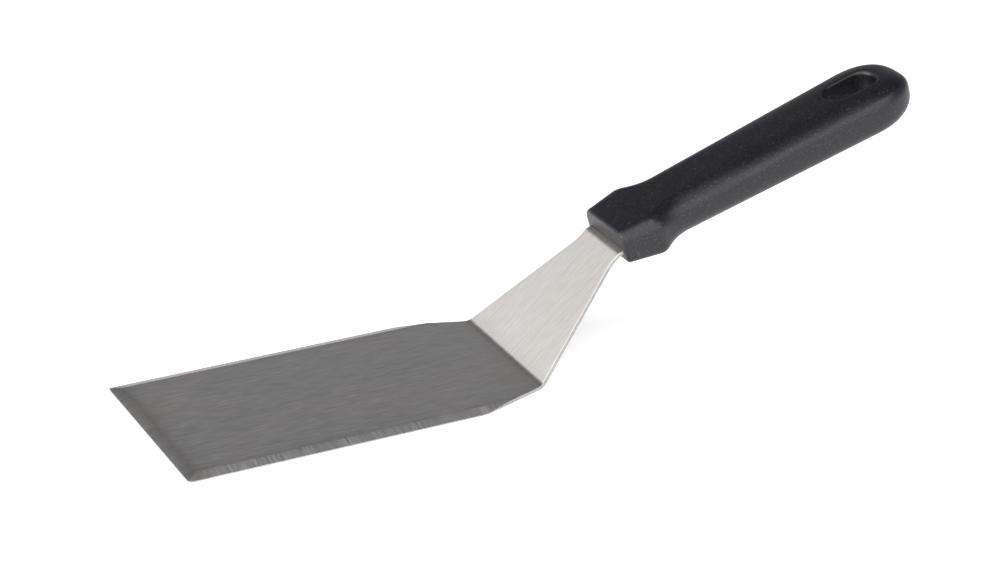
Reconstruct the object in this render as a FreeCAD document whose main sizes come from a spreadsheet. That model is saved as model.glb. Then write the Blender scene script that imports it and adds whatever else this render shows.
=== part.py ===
import FreeCAD, Part
import Sketcher
import math
import os

# Offset spatula: a stainless steel blank, bent twice, with a black plastic handle moulded on its tang.
# Millimetres. +Z is up, +X runs from the blade's front edge to the handle, and the tool is
# symmetrical about the plane y = 0. The origin is the middle of the blade's flat underside.

SIZES = [
    ("blade_length", 138.0, "front edge to the bend line, on the top face"),
    ("blade_width", 75.0, "across the parallel sides"),
    ("sheet", 1.5, "thickness of the steel"),
    ("corner_radius", 1.5, "front corners, seen from above"),
    ("bevel_width", 4.0, "ground bevel along the front and both sides"),
    ("rim", 0.4, "steel left at the edge under the bevel"),
    ("shoulder_distance", 26.0, "bend line back to where the taper begins"),
    ("shoulder_radius", 14.0, "rounding where side and taper meet"),
    ("taper_on_neck", 48.9, "bend line to the taper's end, along the neck"),
    ("taper_blend", 15.0, "hollow radius where the taper runs into the tang"),
    ("neck_angle", 43.0, "rise of the neck above the blade"),
    ("neck_length", 54.1, "along the neck's top face, bend to bend"),
    ("bend_radius", 4.0, "inside radius at the blade"),
    ("tang_bend_radius", 3.0, "inside radius at the handle"),
    ("handle_angle", 17.7, "rise of the handle above the blade"),
    ("tang_width", 24.4, "tang where it enters the handle"),
    ("tang_bare", 1.9, "tang showing between the bend and the handle"),
    ("tang_wide", 9.0, "full-width stretch inside the handle"),
    ("tang_tail_width", 16.0, "narrow tail of the tang"),
    ("tang_depth", 66.0, "tang inside the handle"),
    ("tang_corner", 2.0, "hollow corner where the tang narrows"),
    ("lock_hole", 7.0, "holes that the plastic flows through"),
    ("lock_hole_first", 26.0, "handle face to the first hole"),
    ("lock_hole_pitch", 26.0, "between the two holes"),
    ("tang_drop", 1.3, "middle of the tang below the handle's axis"),
    ("handle_length", 131.4, "handle face to butt, along its axis"),
    ("face_width", 28.4, "bolster at the handle face"),
    ("face_height", 12.4, "bolster at the handle face"),
    ("face_lift", 0.7, "middle of the face above the axis"),
    ("face_top_corner", 4.6, "upper corner radius at the face"),
    ("face_low_corner", 1.6, "lower corner radius at the face"),
    ("face_edge", 1.0, "rounding of the face's rim"),
    ("bolster_length", 14.6, "face to the bolster's rear edge"),
    ("bolster_width", 34.0, "at its rear edge"),
    ("bolster_height", 15.8, "at its rear edge"),
    ("bolster_top_corner", 5.6, "upper corner radius at its rear edge"),
    ("bolster_low_corner", 3.0, "lower corner radius at its rear edge"),
    ("waist_station", 27.0, "face to the narrowest grip section"),
    ("waist_width", 27.3, "grip at the waist"),
    ("waist_height", 15.8, "grip at the waist"),
    ("butt_length", 20.4, "widest grip section to the end of the butt"),
    ("swell_width", 31.0, "grip at its widest"),
    ("swell_height", 18.6, "grip at its widest"),
    ("grip_roundness", 0.86, "corner radius as a share of half the section's height"),
    ("butt_lift", 0.8, "rise of the section's middle over the rounded butt"),
    ("slot_from_butt", 22.1, "middle of the hanging slot to the end of the butt"),
    ("slot_length", 21.2, "hanging slot, end to end"),
    ("slot_width", 11.8, "hanging slot, across"),
    ("slot_rim", 1.0, "rounded rim of the slot"),
]

MARGIN = 5.0                      # how far a cutting outline runs past the steel or plastic
BUTT_STEPS = (0.35, 0.62, 0.81, 0.93, 0.985, 1.0)  # sections of the butt, as shares of its length
BUTT_POWER = 2.3                  # 2 would be an ellipse; more is squarer
BUTT_FLAT = 0.14                  # the last section, as a share of the widest one
WAIST_STEPS = (1 / 3, 2 / 3)      # sections of the hollow behind the bolster
SLOT_ROUNDNESS = 0.999            # end radius as a share of half the slot's width
ON = 1e-3                         # closer than this counts as touching


class Size:
    """A length that is both a number and the expression that FreeCAD keeps for it."""

    def __init__(self, value, text):
        self.value = value
        self.text = text

    @staticmethod
    def of(thing):
        return thing if isinstance(thing, Size) else Size(float(thing), repr(float(thing)))

    def _join(self, other, sign, value):
        return Size(value, f"({self.text} {sign} {Size.of(other).text})")

    def __add__(self, other):
        return self._join(other, "+", self.value + Size.of(other).value)

    def __sub__(self, other):
        return self._join(other, "-", self.value - Size.of(other).value)

    def __mul__(self, other):
        return self._join(other, "*", self.value * Size.of(other).value)

    def __truediv__(self, other):
        return self._join(other, "/", self.value / Size.of(other).value)

    def __neg__(self):
        return Size(-self.value, f"(0 - {self.text})")

    def __radd__(self, other):
        return Size.of(other) + self

    def __rsub__(self, other):
        return Size.of(other) - self

    def __rmul__(self, other):
        return Size.of(other) * self


def cosine(angle):
    return Size(math.cos(math.radians(angle.value)), f"cos({angle.text})")


def sine(angle):
    return Size(math.sin(math.radians(angle.value)), f"sin({angle.text})")


def tangent(angle):
    return Size(math.tan(math.radians(angle.value)), f"tan({angle.text})")


def make_sheet(doc):
    """The spreadsheet of driving sizes, and a namespace of them."""
    sheet = doc.addObject("Spreadsheet::Sheet", "Sizes")
    sizes = {}
    for row, (name, number, note) in enumerate(SIZES, start=1):
        sheet.set(f"A{row}", name)
        sheet.set(f"B{row}", str(number))
        sheet.setAlias(f"B{row}", name)
        sheet.set(f"C{row}", note)
        sizes[name] = Size(number, f"Sizes.{name}")
    doc.recompute()
    return sizes


def bind(thing, path, size):
    """Give a property its value and tie it to the sheet."""
    thing.setExpression(path, Size.of(size).text)


def new_sketch(body, role, name, offset=0.0):
    """A sketch on one of the body's origin planes, moved along the plane's normal."""
    sketch = body.newObject("Sketcher::SketchObject", name)
    plane = [feature for feature in body.Origin.OriginFeatures if feature.Role == role][0]
    sketch.AttachmentSupport = (plane, "")
    sketch.MapMode = "FlatFace"
    bind(sketch, "AttachmentOffset.Base.z", offset)
    return sketch


def place_point(sketch, element, point, x, y):
    """Tie a point of the sketch to its x and y."""
    for kind, size in (("DistanceX", x), ("DistanceY", y)):
        size = Size.of(size)
        index = sketch.addConstraint(Sketcher.Constraint(kind, -1, 1, element, point, size.value))
        bind(sketch, f"Constraints[{index}]", size)


def draw_outline(sketch, corners):
    """A closed outline of lines through corners (x, y) or (x, y, radius)."""
    corners = [tuple(Size.of(part) for part in corner) for corner in corners]
    places = [FreeCAD.Vector(corner[0].value, corner[1].value, 0) for corner in corners]
    count = len(corners)
    entries = []
    exits = []
    arcs = []
    for index, corner in enumerate(corners):
        here = places[index]
        back = (places[index - 1] - here).normalize()
        ahead = (places[(index + 1) % count] - here).normalize()
        if len(corner) == 2:
            entries.append(here)
            exits.append(here)
            arcs.append(None)
            continue
        radius = corner[2].value
        half_angle = back.getAngle(ahead) / 2
        reach = radius / math.tan(half_angle)
        entry = here + back * reach
        leave = here + ahead * reach
        centre = here + (back + ahead).normalize() * (radius / math.sin(half_angle))
        left_turn = back.cross(ahead).z < 0
        first, last = (entry, leave) if left_turn else (leave, entry)
        circle = Part.Circle(centre, FreeCAD.Vector(0, 0, 1), radius)
        start = math.atan2(first.y - centre.y, first.x - centre.x)
        end = math.atan2(last.y - centre.y, last.x - centre.x)
        entries.append(entry)
        exits.append(leave)
        arcs.append((Part.ArcOfCircle(circle, start, end), left_turn))
    lines = []
    for index in range(count):
        segment = Part.LineSegment(exits[index], entries[(index + 1) % count])
        lines.append(sketch.addGeometry(segment, False))
    for index, corner in enumerate(corners):
        before = lines[index - 1]
        after = lines[index]
        if arcs[index] is None:
            sketch.addConstraint(Sketcher.Constraint("Coincident", before, 2, after, 1))
            place_point(sketch, after, 1, corner[0], corner[1])
            continue
        arc = sketch.addGeometry(arcs[index][0], False)
        near, far = (1, 2) if arcs[index][1] else (2, 1)
        sketch.addConstraint(Sketcher.Constraint("Tangent", before, 2, arc, near))
        sketch.addConstraint(Sketcher.Constraint("Tangent", arc, far, after, 1))
        turn = sketch.addConstraint(Sketcher.Constraint("Radius", arc, corner[2].value))
        bind(sketch, f"Constraints[{turn}]", corner[2])
        point = sketch.addGeometry(Part.Point(places[index]), True)
        sketch.addConstraint(Sketcher.Constraint("PointOnObject", point, 1, before))
        sketch.addConstraint(Sketcher.Constraint("PointOnObject", point, 1, after))
        place_point(sketch, point, 1, corner[0], corner[1])


def draw_circle(sketch, x, y, diameter):
    x, y, diameter = Size.of(x), Size.of(y), Size.of(diameter)
    centre = FreeCAD.Vector(x.value, y.value, 0)
    circle = Part.Circle(centre, FreeCAD.Vector(0, 0, 1), diameter.value / 2)
    element = sketch.addGeometry(circle, False)
    place_point(sketch, element, 3, x, y)
    index = sketch.addConstraint(Sketcher.Constraint("Diameter", element, diameter.value))
    bind(sketch, f"Constraints[{index}]", diameter)


def mirrored(corners):
    """The corners of the +y side, then the same ones on the -y side, back to front."""
    other_side = [(corner[0], -Size.of(corner[1])) + tuple(corner[2:]) for corner in reversed(corners)]
    return list(corners) + other_side


def cut(doc, body, sketch, name, depth, symmetric=False, reversed_=False):
    """A pocket that has to remove something."""
    before = body.Shape.Volume
    pocket = body.newObject("PartDesign::Pocket", name)
    pocket.Profile = sketch
    bind(pocket, "Length", depth)
    pocket.Midplane = symmetric
    pocket.Reversed = reversed_
    body.Tip = pocket
    doc.recompute()
    if not body.Shape.Volume < before - 1e-3:
        raise RuntimeError(f"{name} removed nothing")
    return pocket


def round_edges(doc, body, name, edges, radius):
    """A fillet on the edges of the body's tip that are the same as the given ones."""
    base = body.Tip
    names = [f"Edge{index}" for index, edge in enumerate(base.Shape.Edges, start=1)
             if any(edge.isSame(other) for other in edges)]
    fillet = body.newObject("PartDesign::Fillet", name)
    fillet.Base = (base, names)
    bind(fillet, "Radius", radius)
    body.Tip = fillet
    doc.recompute()


def edges_across(shape, x, z):
    """The edges that run straight across the tool, parallel to Y, through x and z."""
    corner = FreeCAD.Vector(Size.of(x).value, 0, Size.of(z).value)
    return [edge for edge in shape.Edges
            if all(math.hypot(vertex.Point.x - corner.x, vertex.Point.z - corner.z) < ON
                   for vertex in edge.Vertexes)]


def tilted(angle):
    """A placement at the origin whose X axis rises by the angle; its angle can then be bound."""
    return FreeCAD.Placement(FreeCAD.Vector(0, 0, 0), FreeCAD.Rotation(FreeCAD.Vector(0, -1, 0), angle.value))


def make_blade(doc, s):
    """The one-piece steel blank: ground blade, cranked neck and the tang inside the handle."""
    body = doc.addObject("PartDesign::Body", "blade")
    body.Label = "blade"
    front = -s["blade_length"] / 2
    bend = s["blade_length"] / 2
    sheet = s["sheet"]
    rise, run = sine(s["neck_angle"]), cosine(s["neck_angle"])
    up, along = sine(s["handle_angle"]), cosine(s["handle_angle"])
    tang_length = s["tang_bare"] + s["tang_depth"]
    blade_turn = tangent(s["neck_angle"] / 2)
    tang_turn = tangent((s["neck_angle"] - s["handle_angle"]) / 2)

    # The bends' corners on the top face and straight under them on the underside.
    top_bend = (bend, sheet)
    under_bend = (bend + sheet * blade_turn, 0)
    top_crank = (bend + s["neck_length"] * run, sheet + s["neck_length"] * rise)
    under_crank = (top_crank[0] + sheet * (up + tang_turn * along),
                   top_crank[1] - sheet * (along - tang_turn * up))
    top_end = (top_crank[0] + tang_length * along, top_crank[1] + tang_length * up)
    under_end = (top_end[0] + sheet * up, top_end[1] - sheet * along)

    side = new_sketch(body, "XZ_Plane", "side_profile")
    draw_outline(side, [(front, 0), under_bend, under_crank, under_end, top_end, top_crank, top_bend,
                        (front, sheet)])
    pad = body.newObject("PartDesign::Pad", "bent_sheet")
    pad.Profile = side
    bind(pad, "Length", s["blade_width"])
    pad.Midplane = True
    body.Tip = pad
    doc.recompute()

    # Each bend: its inside radius, and that plus the sheet on the other face.
    for name, radius, inner, outer in (
            ("blade_bend", s["bend_radius"], top_bend, under_bend),
            ("tang_bend", s["tang_bend_radius"], under_crank, top_crank)):
        for part, size, corner in (("inside", radius, inner), ("outside", radius + sheet, outer)):
            round_edges(doc, body, f"{name}_{part}", edges_across(body.Tip.Shape, *corner), size)

    # Seen from above: the taper is one straight line in the flat sheet, so it steepens on the neck.
    half_blade = s["blade_width"] / 2
    half_tang = s["tang_width"] / 2
    share = s["shoulder_distance"] / (s["shoulder_distance"] + s["taper_on_neck"])
    half_bend = half_blade - (half_blade - half_tang) * share
    beyond = under_end[0] + MARGIN
    plan = new_sketch(body, "XY_Plane", "plan_outline", -Size.of(MARGIN))
    draw_outline(plan, mirrored([
        (beyond, half_tang),
        (bend + s["taper_on_neck"] * run, half_tang, s["taper_blend"]),
        (bend, half_bend),
        (bend - s["shoulder_distance"], half_blade, s["shoulder_radius"]),
        (front, half_blade, s["corner_radius"]),
    ]))
    edge = half_blade + MARGIN
    draw_outline(plan, mirrored([(beyond + MARGIN, edge), (front - MARGIN, edge)]))
    height = top_end[1] + 2 * Size.of(MARGIN)
    cut(doc, body, plan, "blank_outline", height, reversed_=True)

    # Bevels: a flat grind that leaves a thin rim.
    inner = half_blade - s["bevel_width"]
    steep = (sheet - s["rim"]) / s["bevel_width"]
    for sign, name in ((1, "left_bevel"), (-1, "right_bevel")):
        wedge = new_sketch(body, "YZ_Plane", f"{name}_section", front - MARGIN)
        draw_outline(wedge, [
            (sign * inner, sheet),
            (sign * edge, sheet - steep * (s["bevel_width"] + MARGIN)),
            (sign * edge, sheet + MARGIN),
            (sign * inner, sheet + MARGIN),
        ])
        cut(doc, body, wedge, name, s["blade_length"] + MARGIN, reversed_=True)
    wedge = new_sketch(body, "XZ_Plane", "front_bevel_section")
    draw_outline(wedge, [
        (front + s["bevel_width"], sheet),
        (front + s["bevel_width"], sheet + MARGIN),
        (front - MARGIN, sheet + MARGIN),
        (front - MARGIN, sheet - steep * (s["bevel_width"] + MARGIN)),
    ])
    cut(doc, body, wedge, "front_bevel", 2 * edge, symmetric=True)

    # Square to the tang: it narrows to a tail, and has holes that the plastic locks into.
    waste = new_sketch(body, "XY_Plane", "tang_waste")
    waste.AttachmentOffset = tilted(s["handle_angle"])
    bind(waste, "AttachmentOffset.Base.x", top_crank[0])
    bind(waste, "AttachmentOffset.Base.z", top_crank[1])
    bind(waste, "AttachmentOffset.Rotation.Angle", s["handle_angle"])
    half_tail = s["tang_tail_width"] / 2
    narrows = s["tang_bare"] + s["tang_wide"]
    for sign in (1, -1):
        draw_outline(waste, [
            (narrows, sign * half_tail, s["tang_corner"]),
            (tang_length + MARGIN, sign * half_tail),
            (tang_length + MARGIN, sign * (half_tang + MARGIN)),
            (narrows, sign * (half_tang + MARGIN)),
        ])
    for number in (0, 1):
        station = s["tang_bare"] + s["lock_hole_first"] + number * s["lock_hole_pitch"]
        draw_circle(waste, station, 0, s["lock_hole"])
    cut(doc, body, waste, "tang_tail_and_holes", 4 * sheet, symmetric=True)
    return body


def section(body, name, station, width, height, lift, top_corner, low_corner):
    """One rounded cross-section of the handle, at a distance from its face."""
    sketch = new_sketch(body, "YZ_Plane", name, station)
    draw_outline(sketch, [
        (-(width / 2), lift - height / 2, low_corner),
        (width / 2, lift - height / 2, low_corner),
        (width / 2, lift + height / 2, top_corner),
        (-(width / 2), lift + height / 2, top_corner),
    ])
    return sketch


def loft(doc, body, name, sections, ruled):
    feature = body.newObject("PartDesign::AdditiveLoft", name)
    feature.Profile = sections[0]
    feature.Sections = sections[1:]
    feature.Ruled = ruled
    body.Tip = feature
    doc.recompute()


def is_flat(face):
    return isinstance(face.Surface, Part.Plane)


def make_handle(doc, s):
    """The moulded handle: bolster, hollow behind it, swelling grip, rounded butt and hanging slot."""
    body = doc.addObject("PartDesign::Body", "handle")
    body.Label = "handle"
    rise, run = sine(s["neck_angle"]), cosine(s["neck_angle"])
    up, along = sine(s["handle_angle"]), cosine(s["handle_angle"])
    axis_height = s["tang_drop"] - s["sheet"] / 2
    body.Placement = tilted(s["handle_angle"])
    bind(body, "Placement.Base.x", s["blade_length"] / 2 + s["neck_length"] * run
         + s["tang_bare"] * along - axis_height * up)
    bind(body, "Placement.Base.z", s["sheet"] + s["neck_length"] * rise
         + s["tang_bare"] * up + axis_height * along)
    bind(body, "Placement.Rotation.Angle", s["handle_angle"])

    level = Size.of(0)
    bolster = (s["bolster_length"], s["bolster_width"], s["bolster_height"], level,
               s["bolster_top_corner"], s["bolster_low_corner"])
    face = section(body, "face_section", level, s["face_width"], s["face_height"], s["face_lift"],
                   s["face_top_corner"], s["face_low_corner"])
    loft(doc, body, "bolster", [face, section(body, "bolster_section", *bolster)], True)

    def grip_section(name, station, width, height, lift=level, squareness=level):
        corner = s["grip_roundness"] * height / 2
        low_corner = corner + (s["bolster_low_corner"] - corner) * squareness
        return section(body, name, station, width, height, lift, corner, low_corner)

    # Behind the bolster the sides curve in to the waist, level with it where they arrive.
    sections = [section(body, "hollow_start", *bolster)]
    hollow = s["waist_station"] - s["bolster_length"]
    for number, step in enumerate(WAIST_STEPS, start=1):
        left = (1 - step) ** 2
        width = s["waist_width"] + (s["bolster_width"] - s["waist_width"]) * left
        height = s["waist_height"] + (s["bolster_height"] - s["waist_height"]) * left
        sections.append(grip_section(f"hollow_section_{number}", s["bolster_length"] + hollow * step,
                                     width, height, squareness=left))
    waist = (s["waist_station"], s["waist_width"], s["waist_height"])
    swell = (s["handle_length"] - s["butt_length"], s["swell_width"], s["swell_height"])
    sections.append(grip_section("hollow_end", *waist))
    loft(doc, body, "hollow", sections, False)
    loft(doc, body, "grip", [grip_section("grip_start", *waist), grip_section("grip_end", *swell)], True)

    # The butt closes in along a curve a little squarer than an ellipse.
    sections = [grip_section("butt_start", *swell)]
    for number, step in enumerate(BUTT_STEPS, start=1):
        left = max((1 - step ** BUTT_POWER) ** (1 / BUTT_POWER), BUTT_FLAT)
        sections.append(grip_section(f"butt_section_{number}", swell[0] + s["butt_length"] * step,
                                     s["swell_width"] * left, s["swell_height"] * left,
                                     s["butt_lift"] * step ** 2))
    loft(doc, body, "butt", sections, False)

    # The cavity is the tang's own outline, less the plastic that fills its locking holes.
    half_tang = s["tang_width"] / 2
    half_tail = s["tang_tail_width"] / 2
    cavity = new_sketch(body, "XY_Plane", "tang_outline", -s["tang_drop"])
    draw_outline(cavity, mirrored([
        (s["tang_depth"], half_tail),
        (s["tang_wide"], half_tail, s["tang_corner"]),
        (s["tang_wide"], half_tang),
        (-Size.of(MARGIN), half_tang),
    ]))
    for number in (0, 1):
        draw_circle(cavity, s["lock_hole_first"] + number * s["lock_hole_pitch"], level, s["lock_hole"])
    cut(doc, body, cavity, "tang_cavity", s["sheet"], symmetric=True)

    # The hanging slot goes right through, square to the axis.
    middle = s["handle_length"] - s["slot_from_butt"]
    reach = s["slot_length"] / 2
    half_slot = s["slot_width"] / 2
    slot = new_sketch(body, "XY_Plane", "slot_outline")
    round_end = half_slot * SLOT_ROUNDNESS
    draw_outline(slot, mirrored([
        (middle + reach, half_slot, round_end),
        (middle - reach, half_slot, round_end),
    ]))
    cut(doc, body, slot, "hanging_slot", 2 * s["swell_height"], symmetric=True)

    # Rounded rims: round the face, and at both mouths of the slot.
    face_rim = [edge for face in body.Tip.Shape.Faces if is_flat(face) for edge in face.OuterWire.Edges
                if all(abs(vertex.Point.x) < ON for vertex in edge.Vertexes)]
    round_edges(doc, body, "face_rim", face_rim, s["face_edge"])
    ends = (middle.value - reach.value - ON, middle.value + reach.value + ON)
    slot_rims = [edge for edge in body.Tip.Shape.Edges
                 if all(ends[0] < vertex.Point.x < ends[1] and abs(vertex.Point.y) < half_slot.value + ON
                        for vertex in edge.Vertexes)
                 and abs(edge.CenterOfMass.z) > s["swell_height"].value / 4]
    round_edges(doc, body, "slot_rims", slot_rims, s["slot_rim"])
    return body


def export(doc, bodies):
    """Check every object, then write one STEP file for each sub-part."""
    doc.recompute()
    for thing in doc.Objects:
        if "Invalid" in thing.State or "Error" in thing.State:
            raise RuntimeError(f"{thing.Name} failed: {thing.State}")
    for body in bodies:
        if body.Shape.isNull() or not body.Shape.isValid():
            raise RuntimeError(f"{body.Label} has no valid shape")
    os.makedirs("parts", exist_ok=True)
    for body in bodies:
        body.Shape.exportStep(os.path.join("parts", body.Label + ".step"))
        print(body.Label, round(body.Shape.Volume, 1), "mm3", len(body.Shape.Solids), "solid")


def main():
    doc = FreeCAD.newDocument("offset_spatula")
    sizes = make_sheet(doc)
    export(doc, [make_blade(doc, sizes), make_handle(doc, sizes)])


main()
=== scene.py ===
import math

import bmesh
import bpy
from mathutils import Matrix, Vector


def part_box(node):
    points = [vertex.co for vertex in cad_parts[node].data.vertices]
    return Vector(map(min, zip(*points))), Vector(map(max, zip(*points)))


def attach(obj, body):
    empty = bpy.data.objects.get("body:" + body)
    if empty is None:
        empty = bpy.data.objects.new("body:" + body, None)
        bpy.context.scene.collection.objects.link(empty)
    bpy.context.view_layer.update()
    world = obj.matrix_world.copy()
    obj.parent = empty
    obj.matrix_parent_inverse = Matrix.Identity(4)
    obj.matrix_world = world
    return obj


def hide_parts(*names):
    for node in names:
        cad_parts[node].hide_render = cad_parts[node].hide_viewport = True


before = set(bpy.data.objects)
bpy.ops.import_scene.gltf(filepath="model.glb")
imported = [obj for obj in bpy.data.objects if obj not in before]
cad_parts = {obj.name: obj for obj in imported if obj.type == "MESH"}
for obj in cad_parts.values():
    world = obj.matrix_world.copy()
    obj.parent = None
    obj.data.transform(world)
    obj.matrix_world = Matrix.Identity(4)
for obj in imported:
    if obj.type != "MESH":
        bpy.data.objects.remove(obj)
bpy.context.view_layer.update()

MM = 0.001                       # lengths below are in millimetres, meshes in metres
WELD = 0.002 * MM                # points nearer than this are one
ON_PLANE = 1e-6                  # how near a point is to a cutting plane to lie on it

# Steel blank, on its top face: +s runs from the front edge, round both bends, to the tang's end.
BLADE_LENGTH = 138.0
BLADE_WIDTH = 75.0
SHEET = 1.5
CORNER_RADIUS = 1.5
BEVEL_WIDTH = 4.0
RIM = 0.4
SHOULDER_DISTANCE = 26.0
SHOULDER_RADIUS = 14.0
TAPER_ON_NECK = 48.9
TAPER_BLEND = 15.0
NECK_ANGLE = math.radians(43.0)
NECK_LENGTH = 54.1
BEND_RADIUS = 4.0
TANG_BEND_RADIUS = 3.0
HANDLE_ANGLE = math.radians(17.7)
TANG_WIDTH = 24.4
TANG_BARE = 1.9
TANG_WIDE = 9.0
TANG_TAIL_WIDTH = 16.0
TANG_DEPTH = 66.0
TANG_DROP = 1.3
EDGE_BREAK = 0.2                 # the steel's cut edges, rubbed smooth
EDGE_ANGLE = 40                  # degrees; sharper edges than this are rubbed
BLADE_BEND_STEPS = 16
TANG_BEND_STEPS = 10

# Which of the blade's materials a face has.
MAIN, SIDE_GRIND, FRONT_GRIND, CUT_EDGE = range(4)

# Handle, from the middle of its face: a along its axis, y across, n up.
HANDLE_LENGTH = 131.4
FACE = {"width": 28.4, "height": 12.4, "lift": 0.7, "top": 4.6, "low": 1.6}
BOLSTER_LENGTH = 14.6
BOLSTER = {"width": 34.0, "height": 15.8, "lift": 0.0, "top": 5.6, "low": 3.0}
WAIST_STATION = 27.0
WAIST_WIDTH = 27.3
WAIST_HEIGHT = 15.8
BUTT_LENGTH = 20.4
SWELL_WIDTH = 31.0
SWELL_HEIGHT = 18.6
GRIP_ROUNDNESS = 0.86
BUTT_LIFT = 0.8
BUTT_POWER = 2.3                 # superellipse of the butt's outline
FACE_EDGE = 1.0
CREST_ROUND = 1.7                # half the length over which the bolster's rear edge is rounded
CROWN_POWER = 3.4                # superellipse that the grip's section turns into
CROWN_START = 30.0               # from here along the handle
CROWN_FULL = 75.0                # to here
SKIN = 0.01                      # kept free inside the outline
SLOT_FROM_BUTT = 22.1
SLOT_LENGTH = 21.2
SLOT_WIDTH = 11.8
SLOT_RIM = 1.0
SLOT_RIM_AT_BUTT = 2.3           # the rim widens towards the butt
MOULD_GAP = 0.1                  # dark line round the steel where it enters the plastic

# Rings along the handle, from the face's rim to the tip.
RIM_RINGS = 6
BOLSTER_RINGS = 28
HOLLOW_RINGS = 22
GRIP_RINGS = 60
BUTT_RINGS = 32

# Camera
AZIMUTH = math.radians(-28.05)
ELEVATION = math.radians(25.65)
ROLL = math.radians(1.19)
LOOK_AT = Vector((0.0668, 0.0, 0.0309))
DISTANCE = 1.0783
LENS = 108.57

BLADE_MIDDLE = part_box("blade")[0][0] + BLADE_LENGTH * MM / 2   # x of the blade's middle


# ---------------------------------------------------------------- shared mesh helpers

def new_object(name, mesh):
    piece = bpy.data.objects.new(name, mesh)
    bpy.context.scene.collection.objects.link(piece)
    return piece


def from_bmesh(name, bm):
    mesh = bpy.data.meshes.new(name)
    bm.to_mesh(mesh)
    bm.free()
    return new_object(name, mesh)


def apply_modifiers(piece):
    """Bakes the piece's modifiers into its mesh."""
    graph = bpy.context.evaluated_depsgraph_get()
    mesh = bpy.data.meshes.new_from_object(piece.evaluated_get(graph))
    piece.modifiers.clear()
    old = piece.data
    piece.data = mesh
    bpy.data.meshes.remove(old)


def weld(piece):
    """Clears the faces without area that a cut can leave."""
    bm = bmesh.new()
    bm.from_mesh(piece.data)
    bmesh.ops.remove_doubles(bm, verts=bm.verts, dist=WELD)
    bmesh.ops.dissolve_degenerate(bm, edges=bm.edges, dist=WELD)
    bm.to_mesh(piece.data)
    bm.free()


def subtract(piece, cutter):
    """Cuts one piece out of another and removes the cutter."""
    cut = piece.modifiers.new("cut", "BOOLEAN")
    cut.operation = "DIFFERENCE"
    cut.solver = "EXACT"
    cut.object = cutter
    apply_modifiers(piece)
    bpy.data.objects.remove(cutter)
    weld(piece)


def smooth_below(piece, degrees):
    """Smooth shading, with edges sharper than the angle kept crisp."""
    piece.data.shade_smooth()
    piece.data.set_sharp_from_angle(angle=math.radians(degrees))


# ---------------------------------------------------------------- steel blank

def round_corner(points, index, radius, steps):
    """Points of an arc that replaces one corner of an open outline."""
    here = Vector(points[index])
    back = (Vector(points[index - 1]) - here).normalized()
    ahead = (Vector(points[index + 1]) - here).normalized()
    half = back.angle(ahead) / 2
    centre = here + (back + ahead).normalized() * (radius / math.sin(half))
    start = here + back * (radius / math.tan(half)) - centre
    end = here + ahead * (radius / math.tan(half)) - centre
    turn = start.angle_signed(end)
    arc = []
    for step in range(steps + 1):
        angle = -turn * step / steps
        arc.append(centre + Vector((start.x * math.cos(angle) - start.y * math.sin(angle),
                                    start.x * math.sin(angle) + start.y * math.cos(angle))))
    return arc


def flat_outline():
    """The flat blank's outline as (s, y), all the way round."""
    half_blade = BLADE_WIDTH / 2
    half_tang = TANG_WIDTH / 2
    half_tail = TANG_TAIL_WIDTH / 2
    face = BLADE_LENGTH + NECK_LENGTH + TANG_BARE
    corners = [
        ((0.0, 0.0), None, 0),
        ((0.0, half_blade), CORNER_RADIUS, 10),
        ((BLADE_LENGTH - SHOULDER_DISTANCE, half_blade), SHOULDER_RADIUS, 8),
        ((BLADE_LENGTH + TAPER_ON_NECK, half_tang), TAPER_BLEND, 10),
        ((face + TANG_WIDE, half_tang), None, 0),
        ((face + TANG_WIDE, half_tail), None, 0),
        ((face + TANG_DEPTH, half_tail), None, 0),
        ((face + TANG_DEPTH, 0.0), None, 0),
    ]
    places = [corner[0] for corner in corners]
    side = []
    for index, (place, radius, steps) in enumerate(corners):
        if radius is None:
            side.append(Vector(place))
        else:
            side.extend(round_corner(places, index, radius, steps))
    other = [Vector((point.x, -point.y)) for point in reversed(side[1:-1])]
    return side[1:-1] + other


def fold(s, t):
    """Where a point of the flat sheet goes: s along its top face, t above its underside; (x, z) in mm."""
    depth = SHEET - t
    reach = BEND_RADIUS * math.tan(NECK_ANGLE / 2)
    outer = TANG_BEND_RADIUS + SHEET
    crank_turn = NECK_ANGLE - HANDLE_ANGLE
    crank_reach = outer * math.tan(crank_turn / 2)
    crank = BLADE_LENGTH + NECK_LENGTH
    run, rise = math.cos(NECK_ANGLE), math.sin(NECK_ANGLE)
    crank_x = BLADE_LENGTH + NECK_LENGTH * run
    crank_z = SHEET + NECK_LENGTH * rise
    if s <= BLADE_LENGTH - reach:
        return s, t
    if s < BLADE_LENGTH + reach:
        angle = NECK_ANGLE * (s - BLADE_LENGTH + reach) / (2 * reach)
        radius = BEND_RADIUS + depth
        return (BLADE_LENGTH - reach + radius * math.sin(angle),
                SHEET + BEND_RADIUS - radius * math.cos(angle))
    if s <= crank - crank_reach:
        along = s - BLADE_LENGTH
        return (BLADE_LENGTH + along * run + depth * rise, SHEET + along * rise - depth * run)
    if s < crank + crank_reach:
        angle = NECK_ANGLE - crank_turn * (s - crank + crank_reach) / (2 * crank_reach)
        centre_x = crank_x - crank_reach * run + outer * rise
        centre_z = crank_z - crank_reach * rise - outer * run
        radius = outer - depth
        return centre_x - radius * math.sin(angle), centre_z + radius * math.cos(angle)
    along = s - crank
    return (crank_x + along * math.cos(HANDLE_ANGLE) + depth * math.sin(HANDLE_ANGLE),
            crank_z + along * math.sin(HANDLE_ANGLE) - depth * math.cos(HANDLE_ANGLE))


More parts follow.
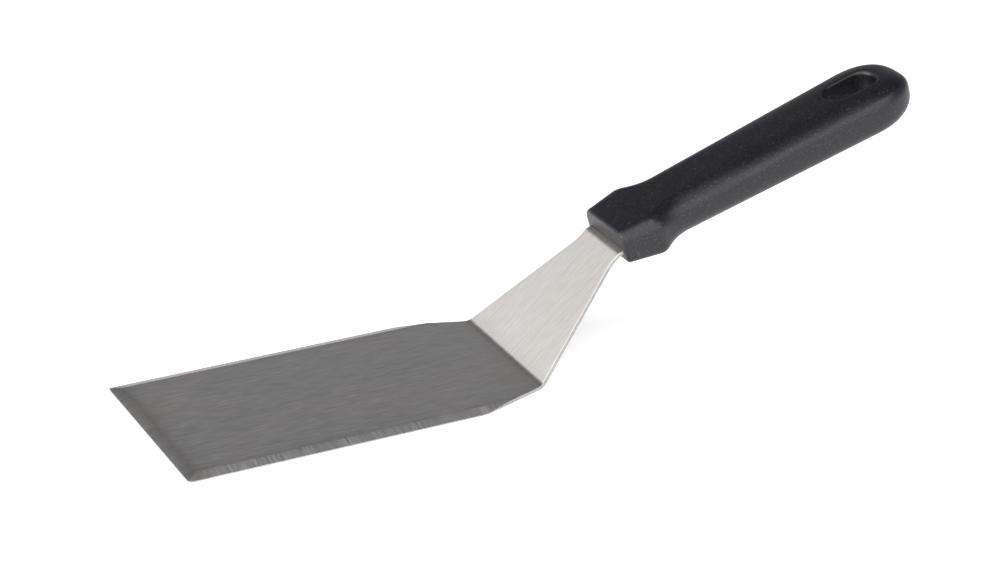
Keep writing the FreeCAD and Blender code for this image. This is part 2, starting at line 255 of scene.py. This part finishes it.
def slice_off(bm, point, normal):
    """Cuts away what lies on the normal's side of a plane, and closes the cut."""
    cut = bmesh.ops.bisect_plane(bm, geom=bm.verts[:] + bm.edges[:] + bm.faces[:], dist=ON_PLANE,
                                 plane_co=point, plane_no=normal, clear_outer=True)
    edges = [item for item in cut["geom_cut"] if isinstance(item, bmesh.types.BMEdge)]
    bmesh.ops.holes_fill(bm, edges=edges, sides=0)


def make_blade():
    """The blank: extruded flat, ground, and then folded at both bends."""
    bm = bmesh.new()
    base = bm.faces.new([bm.verts.new((point.x, point.y, 0.0)) for point in flat_outline()])
    raised = bmesh.ops.extrude_face_region(bm, geom=[base])
    for item in raised["geom"]:
        if isinstance(item, bmesh.types.BMVert):
            item.co.z = SHEET
    bmesh.ops.recalc_face_normals(bm, faces=bm.faces)

    # Ground bevels: one flat cut along the front and one along each side.
    drop = SHEET - RIM
    inner = BLADE_WIDTH / 2 - BEVEL_WIDTH
    slice_off(bm, (BEVEL_WIDTH, 0.0, SHEET), (-drop, 0.0, BEVEL_WIDTH))
    for side in (1, -1):
        slice_off(bm, (0.0, side * inner, SHEET), (0.0, side * drop, BEVEL_WIDTH))

    # Which grind each face has.
    for face in bm.faces:
        normal = face.normal
        if abs(normal.z) > 0.999:
            face.material_index = MAIN
        elif normal.z > 0.5:
            face.material_index = SIDE_GRIND if abs(normal.y) > abs(normal.x) else FRONT_GRIND
        else:
            face.material_index = CUT_EDGE

    # Cross cuts through both bends, so that they fold smoothly.
    reach = BEND_RADIUS * math.tan(NECK_ANGLE / 2)
    crank_reach = (TANG_BEND_RADIUS + SHEET) * math.tan((NECK_ANGLE - HANDLE_ANGLE) / 2)
    bends = ((BLADE_LENGTH, reach, BLADE_BEND_STEPS),
             (BLADE_LENGTH + NECK_LENGTH, crank_reach, TANG_BEND_STEPS))
    for middle, half, steps in bends:
        for step in range(steps + 1):
            at = middle + half * (2 * step / steps - 1)
            bmesh.ops.bisect_plane(bm, geom=bm.verts[:] + bm.edges[:] + bm.faces[:], dist=ON_PLANE,
                                   plane_co=(at, 0, 0), plane_no=(1, 0, 0))
    for vertex in bm.verts:
        x, z = fold(vertex.co.x, vertex.co.z)
        vertex.co = (x * MM + BLADE_MIDDLE - BLADE_LENGTH * MM / 2, vertex.co.y * MM, z * MM)
    piece = from_bmesh("blade_steel_sheet", bm)
    bevel = piece.modifiers.new("edge_break", "BEVEL")
    bevel.width = EDGE_BREAK * MM
    bevel.segments = 2
    bevel.limit_method = "ANGLE"
    bevel.angle_limit = math.radians(EDGE_ANGLE)
    apply_modifiers(piece)
    smooth_below(piece, 11)
    return piece


# ---------------------------------------------------------------- handle

def handle_point(a, y, n):
    """A point of the handle's own frame, in metres, in the spatula's frame."""
    up, along = math.sin(HANDLE_ANGLE), math.cos(HANDLE_ANGLE)
    lift = TANG_DROP - SHEET / 2
    x = BLADE_LENGTH / 2 + NECK_LENGTH * math.cos(NECK_ANGLE) + TANG_BARE * along - lift * up
    z = SHEET + NECK_LENGTH * math.sin(NECK_ANGLE) + TANG_BARE * up + lift * along
    return Vector((BLADE_MIDDLE + (x + a * along - n * up) * MM, y * MM, (z + a * up + n * along) * MM))


def mix(low, high, share):
    return {key: low[key] + (high[key] - low[key]) * share for key in low}


def grip(width, height, lift=0.0):
    corner = GRIP_ROUNDNESS * height / 2
    return {"width": width, "height": height, "lift": lift, "top": corner, "low": corner}


def section_at(a):
    """The handle's rounded cross-section at a distance from its face."""
    swell = HANDLE_LENGTH - BUTT_LENGTH
    if a <= BOLSTER_LENGTH:
        return mix(FACE, BOLSTER, a / BOLSTER_LENGTH)
    waist = grip(WAIST_WIDTH, WAIST_HEIGHT)
    if a < WAIST_STATION:
        left = (1 - (a - BOLSTER_LENGTH) / (WAIST_STATION - BOLSTER_LENGTH)) ** 2
        return mix(waist, BOLSTER, left)
    if a <= swell:
        return mix(waist, grip(SWELL_WIDTH, SWELL_HEIGHT), (a - WAIST_STATION) / (swell - WAIST_STATION))
    step = min(1.0, (a - swell) / BUTT_LENGTH)
    left = (1 - step ** BUTT_POWER) ** (1 / BUTT_POWER)
    return grip(SWELL_WIDTH * left, SWELL_HEIGHT * left, BUTT_LIFT * step ** 2)


def smooth_section(a):
    """The section with the bolster's rear edge rounded over: an average along a short stretch."""
    reach = max(0.0, min(CREST_ROUND, a - FACE_EDGE, HANDLE_LENGTH - BUTT_LENGTH - a))
    near_crest = max(0.0, 1.0 - abs(a - BOLSTER_LENGTH) / (3 * CREST_ROUND))
    reach *= min(1.0, 2 * near_crest)
    if reach < 0.01:
        return section_at(a)
    shares = [step / 4 for step in range(-4, 5)]
    parts = [section_at(a + share * reach) for share in shares]
    return {key: sum(part[key] for part in parts) / len(parts) for key in parts[0]}


def crowned(point, half_width, half_height, lift, share):
    """Moves a point of the section towards the superellipse of the same width and height."""
    across = abs(point.x) / half_width
    over = abs(point.y - lift) / half_height
    shrink = (across ** CROWN_POWER + over ** CROWN_POWER) ** (-1 / CROWN_POWER)
    shrink = 1 + (shrink - 1) * share
    return Vector((point.x * shrink, lift + (point.y - lift) * shrink))


def section_ring(a, inset=0.0):
    """Points (y, n) round the section at a: four corner arcs joined by straight sides."""
    section = smooth_section(a)
    inset += SKIN
    half = section["width"] / 2 - inset
    top = section["lift"] + section["height"] / 2 - inset
    low = section["lift"] - section["height"] / 2 + inset
    top_radius = max(section["top"] - inset, 0.15 * section["top"])
    low_radius = max(section["low"] - inset, 0.15 * section["low"])
    ring = []
    arcs = (
        (half - top_radius, top - top_radius, top_radius, 0),
        (-half + top_radius, top - top_radius, top_radius, 90),
        (-half + low_radius, low + low_radius, low_radius, 180),
        (half - low_radius, low + low_radius, low_radius, 270),
    )
    for index, (y, n, radius, start) in enumerate(arcs):
        for step in range(ARC_STEPS + 1):
            angle = math.radians(start + 90 * step / ARC_STEPS)
            ring.append(Vector((y + radius * math.cos(angle), n + radius * math.sin(angle))))
        following = arcs[(index + 1) % 4]
        angle = math.radians(start + 90)
        here = ring[-1]
        there = Vector((following[0] + following[2] * math.cos(angle),
                        following[1] + following[2] * math.sin(angle)))
        steps = FLAT_STEPS if index % 2 == 0 else SIDE_STEPS
        for step in range(1, steps):
            ring.append(here.lerp(there, step / steps))
    share = min(1.0, max(0.0, (a - CROWN_START) / (CROWN_FULL - CROWN_START)))
    share = share * share * (3 - 2 * share)
    return [crowned(point, half, (top - low) / 2, section["lift"], share) for point in ring]


ARC_STEPS = 12
FLAT_STEPS = 14
SIDE_STEPS = 5


def make_handle_shell():
    """The handle without its slot and the tang's room: rings of sections, closed at both ends."""
    swell = HANDLE_LENGTH - BUTT_LENGTH
    rings = []
    for step in range(RIM_RINGS + 1):
        angle = math.radians(90 * step / RIM_RINGS)
        a = FACE_EDGE * (1 - math.cos(angle))
        inset = FACE_EDGE * (1 - math.sin(angle))
        rings.append((a, inset))
    for step in range(1, BOLSTER_RINGS + 1):
        rings.append((FACE_EDGE + (BOLSTER_LENGTH - FACE_EDGE) * step / BOLSTER_RINGS, 0.0))
    for step in range(1, HOLLOW_RINGS + 1):
        rings.append((BOLSTER_LENGTH + (WAIST_STATION - BOLSTER_LENGTH) * step / HOLLOW_RINGS, 0.0))
    for step in range(1, GRIP_RINGS + 1):
        rings.append((WAIST_STATION + (swell - WAIST_STATION) * step / GRIP_RINGS, 0.0))
    for step in range(1, BUTT_RINGS):
        rings.append((swell + BUTT_LENGTH * math.sin(math.radians(90 * step / BUTT_RINGS)), 0.0))
    bm = bmesh.new()
    loops = []
    for a, inset in rings:
        loops.append([bm.verts.new(handle_point(a, p.x, p.y)) for p in section_ring(a, inset)])
    count = len(loops[0])
    for here, there in zip(loops, loops[1:]):
        for index in range(count):
            following = (index + 1) % count
            bm.faces.new((here[index], here[following], there[following], there[index]))
    bm.faces.new(list(reversed(loops[0])))
    tip = bm.verts.new(handle_point(HANDLE_LENGTH, 0.0, BUTT_LIFT))
    for index in range(count):
        bm.faces.new((loops[-1][index], loops[-1][(index + 1) % count], tip))
    bmesh.ops.recalc_face_normals(bm, faces=bm.faces)
    return from_bmesh("handle_moulding", bm)


def surface_height(a, y, side):
    """How high the grip's crowned surface is above the axis, over (1) or under (-1) a point."""
    section = section_at(a)
    across = min(1.0, abs(y) / (section["width"] / 2))
    return section["lift"] + side * section["height"] / 2 * (1 - across ** CROWN_POWER) ** (1 / CROWN_POWER)


def make_slot_cutter():
    """The slot as a solid whose mouths flare into the rounded rims."""
    middle = HANDLE_LENGTH - SLOT_FROM_BUTT
    half_width = SLOT_WIDTH / 2
    straight = SLOT_LENGTH / 2 - half_width
    flare = [(1 - math.cos(math.radians(78 * step / 9)), math.sin(math.radians(78 * step / 9)) - 1)
             for step in range(10)]
    last = math.radians(78)
    flare.append((flare[-1][0] + math.sin(last) * 1.1, flare[-1][1] + math.cos(last) * 1.1))
    flare.append((flare[-1][0], flare[-1][1] + 2.2))
    profile = [(outward, -1, level) for outward, level in reversed(flare)]
    profile += [(outward, 1, level) for outward, level in flare]
    bm = bmesh.new()
    loops = []
    arc_steps = 24
    for outward, side, level in profile:
        loop = []
        for end, start in ((1, -90), (-1, 90)):
            for step in range(arc_steps + 1):
                angle = math.radians(start + 180 * step / arc_steps)
                towards_butt = max(0.0, math.cos(angle))
                rim = SLOT_RIM + (SLOT_RIM_AT_BUTT - SLOT_RIM) * towards_butt
                radius = half_width + outward * rim
                a = middle + end * straight + radius * math.cos(angle)
                y = radius * math.sin(angle)
                n = surface_height(a, y, side) + side * level * rim
                loop.append(bm.verts.new(handle_point(a, y, n)))
        loops.append(loop)
    count = len(loops[0])
    for here, there in zip(loops, loops[1:]):
        for index in range(count):
            following = (index + 1) % count
            bm.faces.new((here[index], here[following], there[following], there[index]))
    bm.faces.new(loops[0])
    bm.faces.new(list(reversed(loops[-1])))
    bmesh.ops.recalc_face_normals(bm, faces=bm.faces)
    return from_bmesh("slot_cutter", bm)


def make_tang_cutter():
    """The tang's own room inside the plastic, a hair wider than the steel."""
    half_tang = TANG_WIDTH / 2 + MOULD_GAP
    half_tail = TANG_TAIL_WIDTH / 2 + MOULD_GAP
    side = [(-2.0, half_tang), (TANG_WIDE + MOULD_GAP, half_tang), (TANG_WIDE + MOULD_GAP, half_tail),
            (TANG_DEPTH + MOULD_GAP, half_tail)]
    outline = side + [(a, -y) for a, y in reversed(side)]
    half_sheet = SHEET / 2 + MOULD_GAP
    bm = bmesh.new()
    low = [bm.verts.new(handle_point(a, y, -TANG_DROP - half_sheet)) for a, y in outline]
    high = [bm.verts.new(handle_point(a, y, -TANG_DROP + half_sheet)) for a, y in outline]
    bm.faces.new(low)
    bm.faces.new(list(reversed(high)))
    count = len(low)
    for index in range(count):
        following = (index + 1) % count
        bm.faces.new((low[index], low[following], high[following], high[index]))
    bmesh.ops.recalc_face_normals(bm, faces=bm.faces)
    return from_bmesh("tang_cutter", bm)


def make_handle():
    piece = make_handle_shell()
    subtract(piece, make_slot_cutter())
    subtract(piece, make_tang_cutter())
    smooth_below(piece, 28)
    return piece


# ---------------------------------------------------------------- materials

class Nodes:
    """A short way to write a shader's node tree."""

    def __init__(self, name):
        self.material = bpy.data.materials.new(name)
        self.material.use_nodes = True
        self.tree = self.material.node_tree
        self.shader = self.tree.nodes["Principled BSDF"]
        self.place = self.tree.nodes.new("ShaderNodeTexCoord").outputs["Object"]

    def add(self, kind, inputs=None, **settings):
        node = self.tree.nodes.new(kind)
        for key, value in settings.items():
            setattr(node, key, value)
        for key, value in (inputs or {}).items():
            self.feed(node.inputs[key], value)
        return node

    def feed(self, socket, value):
        if isinstance(value, bpy.types.NodeSocket):
            self.tree.links.new(value, socket)
        else:
            socket.default_value = value

    def stretched(self, scale, turn=(0.0, 0.0, 0.0)):
        """The object's own coordinates, turned and then scaled."""
        node = self.add("ShaderNodeMapping", {"Vector": self.place, "Rotation": turn, "Scale": scale})
        return node.outputs["Vector"]

    def noise(self, vector, scale=1.0, detail=2.0, roughness=0.5):
        node = self.add("ShaderNodeTexNoise", {"Vector": vector, "Scale": scale, "Detail": detail,
                                               "Roughness": roughness})
        return node.outputs["Fac"]

    def ramp(self, value, low, high, to_low, to_high):
        node = self.add("ShaderNodeMapRange", {"Value": value, "From Min": low, "From Max": high,
                                               "To Min": to_low, "To Max": to_high})
        return node.outputs["Result"]

    def maths(self, operation, first, second=0.0):
        return self.add("ShaderNodeMath", {0: first, 1: second}, operation=operation).outputs[0]

    def multiply(self, first, second):
        node = self.add("ShaderNodeMix", data_type="RGBA", blend_type="MULTIPLY")
        node.inputs["Factor"].default_value = 1.0
        self.feed(node.inputs[6], first)
        self.feed(node.inputs[7], second)
        return node.outputs[2]

    def painted_bevel_and_crease_shade(self):
        """Painted shade, darker along the inner lines of the ground bevels and along the bend's crease,
        where these hollows lie in shade: 0 for none, 1 for most.
        """
        split = self.add("ShaderNodeSeparateXYZ", {0: self.place})
        x, y = split.outputs[0], split.outputs[1]
        front = (BLADE_MIDDLE * 1000 - BLADE_LENGTH / 2 + BEVEL_WIDTH) * MM
        bend = (BLADE_MIDDLE * 1000 + BLADE_LENGTH / 2) * MM
        side = (BLADE_WIDTH / 2 - BEVEL_WIDTH) * MM
        painted_shade = 0.0
        lines = ((self.maths("SUBTRACT", x, front), 3.0, 9.0, 1.0),
                 (self.maths("SUBTRACT", self.maths("ABSOLUTE", y), side), 1.5, 5.0, 0.5),
                 (self.maths("SUBTRACT", x, bend), 1.0, 5.0, 0.8))
        for distance, near, far, depth in lines:
            away = self.maths("ABSOLUTE", distance)
            dark = self.ramp(away, 0.0, near * MM, depth * 0.55, 0.0)
            wide = self.ramp(away, 0.0, far * MM, depth * 0.45, 0.0)
            painted_shade = self.maths("ADD", painted_shade, self.maths("ADD", dark, wide))
        above = self.ramp(split.outputs[2], 0.1 * MM, 0.3 * MM, 0.0, 1.0)   # the flat underside has none
        return self.maths("MULTIPLY", self.maths("MINIMUM", painted_shade, 1.0), above)

    def colour(self, share, first, second):
        node = self.add("ShaderNodeMix", data_type="RGBA")
        self.feed(node.inputs["Factor"], share)
        node.inputs[6].default_value = (*first, 1.0)
        node.inputs[7].default_value = (*second, 1.0)
        return node.outputs[2]

    def bump(self, height, distance, strength=1.0, normal=None):
        inputs = {"Height": height, "Distance": distance, "Strength": strength}
        if normal is not None:
            inputs["Normal"] = normal
        return self.add("ShaderNodeBump", inputs).outputs["Normal"]

    def set(self, **values):
        for key, value in values.items():
            self.feed(self.shader.inputs[key.replace("_", " ")], value)
        return self.material


def brushed_steel(name, long_grain, short_grain, tint=(0.655, 0.645, 0.620), roughness=(0.29, 0.39),
                  contrast=0.11, relief=0.00005):
    """Stainless steel with a one-way grain: each grain is long where its scale is small."""
    nodes = Nodes(name)
    streaks = nodes.noise(nodes.stretched(short_grain), detail=2.0, roughness=0.6)
    lines = nodes.noise(nodes.stretched(long_grain), detail=3.0, roughness=0.65)
    grain = nodes.maths("ADD", streaks, lines)
    broad = nodes.noise(nodes.stretched((14.0, 40.0, 14.0)), detail=2.0)
    shade = nodes.colour(nodes.ramp(grain, 0.75, 1.25, 0.0, 1.0),
                         tuple((1 - contrast) * part for part in tint),
                         tuple(min(1.0, (1 + contrast) * part) for part in tint))
    # painted shade: the steel's colour is darkened along the bevels' inner lines and the bend's crease
    painted_shade = nodes.colour(nodes.painted_bevel_and_crease_shade(), (1.0, 1.0, 1.0), (0.74, 0.73, 0.72))
    shade = nodes.multiply(shade, painted_shade)
    warmth = nodes.colour(nodes.ramp(broad, 0.38, 0.62, 0.0, 1.0), (1.0, 1.0, 1.0), (1.005, 0.985, 0.965))
    shade = nodes.multiply(shade, warmth)
    rough = nodes.maths("ADD", nodes.ramp(grain, 0.75, 1.25, roughness[0], roughness[1]),
                        nodes.ramp(broad, 0.3, 0.7, -0.02, 0.02))
    return nodes.set(Base_Color=shade, Metallic=1.0, Roughness=rough,
                     Normal=nodes.bump(grain, relief, 0.5))


def black_plastic():
    """Black polypropylene with the fine sparked texture of its mould, and pale dots in its colour that are
    painted glints of that texture.
    """
    nodes = Nodes("black_polypropylene")
    painted_glints = nodes.noise(nodes.place, scale=1500.0, detail=1.0)
    pebble = nodes.noise(nodes.place, scale=900.0, detail=3.0, roughness=0.6)
    cloud = nodes.noise(nodes.place, scale=45.0, detail=2.0)
    # painted glints: pale dots mixed into the base colour, standing in for the sparkle of the sparked
    # texture
    shade = nodes.colour(nodes.ramp(painted_glints, 0.58, 0.76, 0.0, 1.0),
                         (0.0042, 0.0045, 0.0066), (0.037, 0.037, 0.042))
    rough = nodes.maths("ADD", nodes.ramp(pebble, 0.3, 0.7, 0.31, 0.43),
                        nodes.ramp(cloud, 0.3, 0.7, -0.03, 0.03))
    return nodes.set(Base_Color=shade, Roughness=rough, IOR=1.5, Normal=nodes.bump(pebble, 0.00008, 0.6))


def pale_floor():
    nodes = Nodes("pale_floor")
    return nodes.set(Base_Color=(0.92, 0.92, 0.92, 1.0), Roughness=0.9,
                     Emission_Color=(1.0, 1.0, 1.0, 1.0), Emission_Strength=0.41)


# ---------------------------------------------------------------- stage, light and camera

def make_stage():
    bpy.ops.mesh.primitive_plane_add(size=12.0, location=(0.0, 0.0, -0.0002))
    floor = bpy.context.object
    floor.name = "floor"
    floor.data.materials.append(pale_floor())


def add_panel(name, direction, distance, size, radiance):
    """A rectangular softbox seen from the object in one direction, facing it."""
    width, height = size
    light = bpy.data.lights.new(name, "AREA")
    light.shape = "RECTANGLE"
    light.size, light.size_y = width, height
    light.energy = radiance * math.pi * width * height
    away = Vector(direction).normalized()
    lamp = bpy.data.objects.new(name, light)
    lamp.location = LOOK_AT + away * distance
    lamp.rotation_euler = (-away).to_track_quat("-Z", "Y").to_euler()
    bpy.context.scene.collection.objects.link(lamp)


def make_light():
    world = bpy.data.worlds.new("studio")
    bpy.context.scene.world = world
    world.use_nodes = True
    tree = world.node_tree
    place = tree.nodes.new("ShaderNodeTexCoord")
    split = tree.nodes.new("ShaderNodeSeparateXYZ")
    shade = tree.nodes.new("ShaderNodeValToRGB")
    tree.links.new(place.outputs["Generated"], split.inputs[0])
    tree.links.new(split.outputs["Z"], shade.inputs["Fac"])
    tree.links.new(shade.outputs["Color"], tree.nodes["Background"].inputs["Color"])
    stops = shade.color_ramp.elements
    stops[0].position, stops[0].color = 0.0, (0.48, 0.48, 0.50, 1.0)
    stops[1].position, stops[1].color = 1.0, (0.085, 0.085, 0.095, 1.0)
    for position, level in ((0.42, 0.29), (0.62, 0.13)):
        stops.new(position).color = (level, level, 1.06 * level, 1.0)
    add_panel("front_softbox", (0.09, -0.80, 0.40), 2.6, (3.4, 2.4), 2.0)
    add_panel("overhead_left_softbox", (-0.95, -0.45, 1.10), 1.55, (1.9, 2.2), 2.4)
    add_panel("low_left_softbox", (-0.92, -0.05, 0.25), 2.2, (1.8, 0.7), 7.0)
    add_panel("back_left_softbox", (-0.50, 0.72, 0.47), 2.5, (1.0, 1.1), 1.25)


def make_camera():
    data = bpy.data.cameras.new("camera")
    data.lens = LENS
    data.sensor_width = 36.0
    data.clip_end = 20.0
    forward = Vector((-math.sin(AZIMUTH) * math.cos(ELEVATION), math.cos(AZIMUTH) * math.cos(ELEVATION),
                      -math.sin(ELEVATION)))
    right = forward.cross(Vector((0, 0, 1))).normalized()
    up = right.cross(forward)
    turned = Matrix.Rotation(-ROLL, 3, forward)
    right, up = turned @ right, turned @ up
    camera = bpy.data.objects.new("camera", data)
    camera.matrix_world = Matrix.Translation(LOOK_AT - forward * DISTANCE) @ Matrix(
        (right, up, -forward)).transposed().to_4x4()
    bpy.context.scene.collection.objects.link(camera)
    bpy.context.scene.camera = camera


# ---------------------------------------------------------------- assembly

def main():
    blade = make_blade()
    steel = brushed_steel("brushed_steel", (45.0, 1500.0, 45.0), (170.0, 1050.0, 170.0))
    side_grind = brushed_steel("ground_side_bevel", (2400.0, 80.0, 200.0), (1100.0, 60.0, 200.0),
                               tint=(0.70, 0.69, 0.675), roughness=(0.40, 0.52), contrast=0.10)
    # painted shade: the front bevel's steel gets a darker tint than the rest of the blade
    front_grind_painted_dark = brushed_steel("ground_front_bevel_painted_shade", (80.0, 2000.0, 200.0), (60.0, 900.0, 200.0),
                                tint=(0.58, 0.57, 0.553), roughness=(0.32, 0.42), contrast=0.06)
    edge = brushed_steel("cut_edge", (400.0, 400.0, 2500.0), (300.0, 300.0, 900.0),
                         tint=(0.42, 0.415, 0.41), roughness=(0.28, 0.42))
    for material in (steel, side_grind, front_grind_painted_dark, edge):
        blade.data.materials.append(material)
    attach(blade, "root")
    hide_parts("blade")

    handle = make_handle()
    handle.data.materials.append(black_plastic())
    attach(handle, "root")
    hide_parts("handle")

    make_stage()
    make_light()
    make_camera()
    bpy.context.scene.view_settings.view_transform = "Standard"


main()
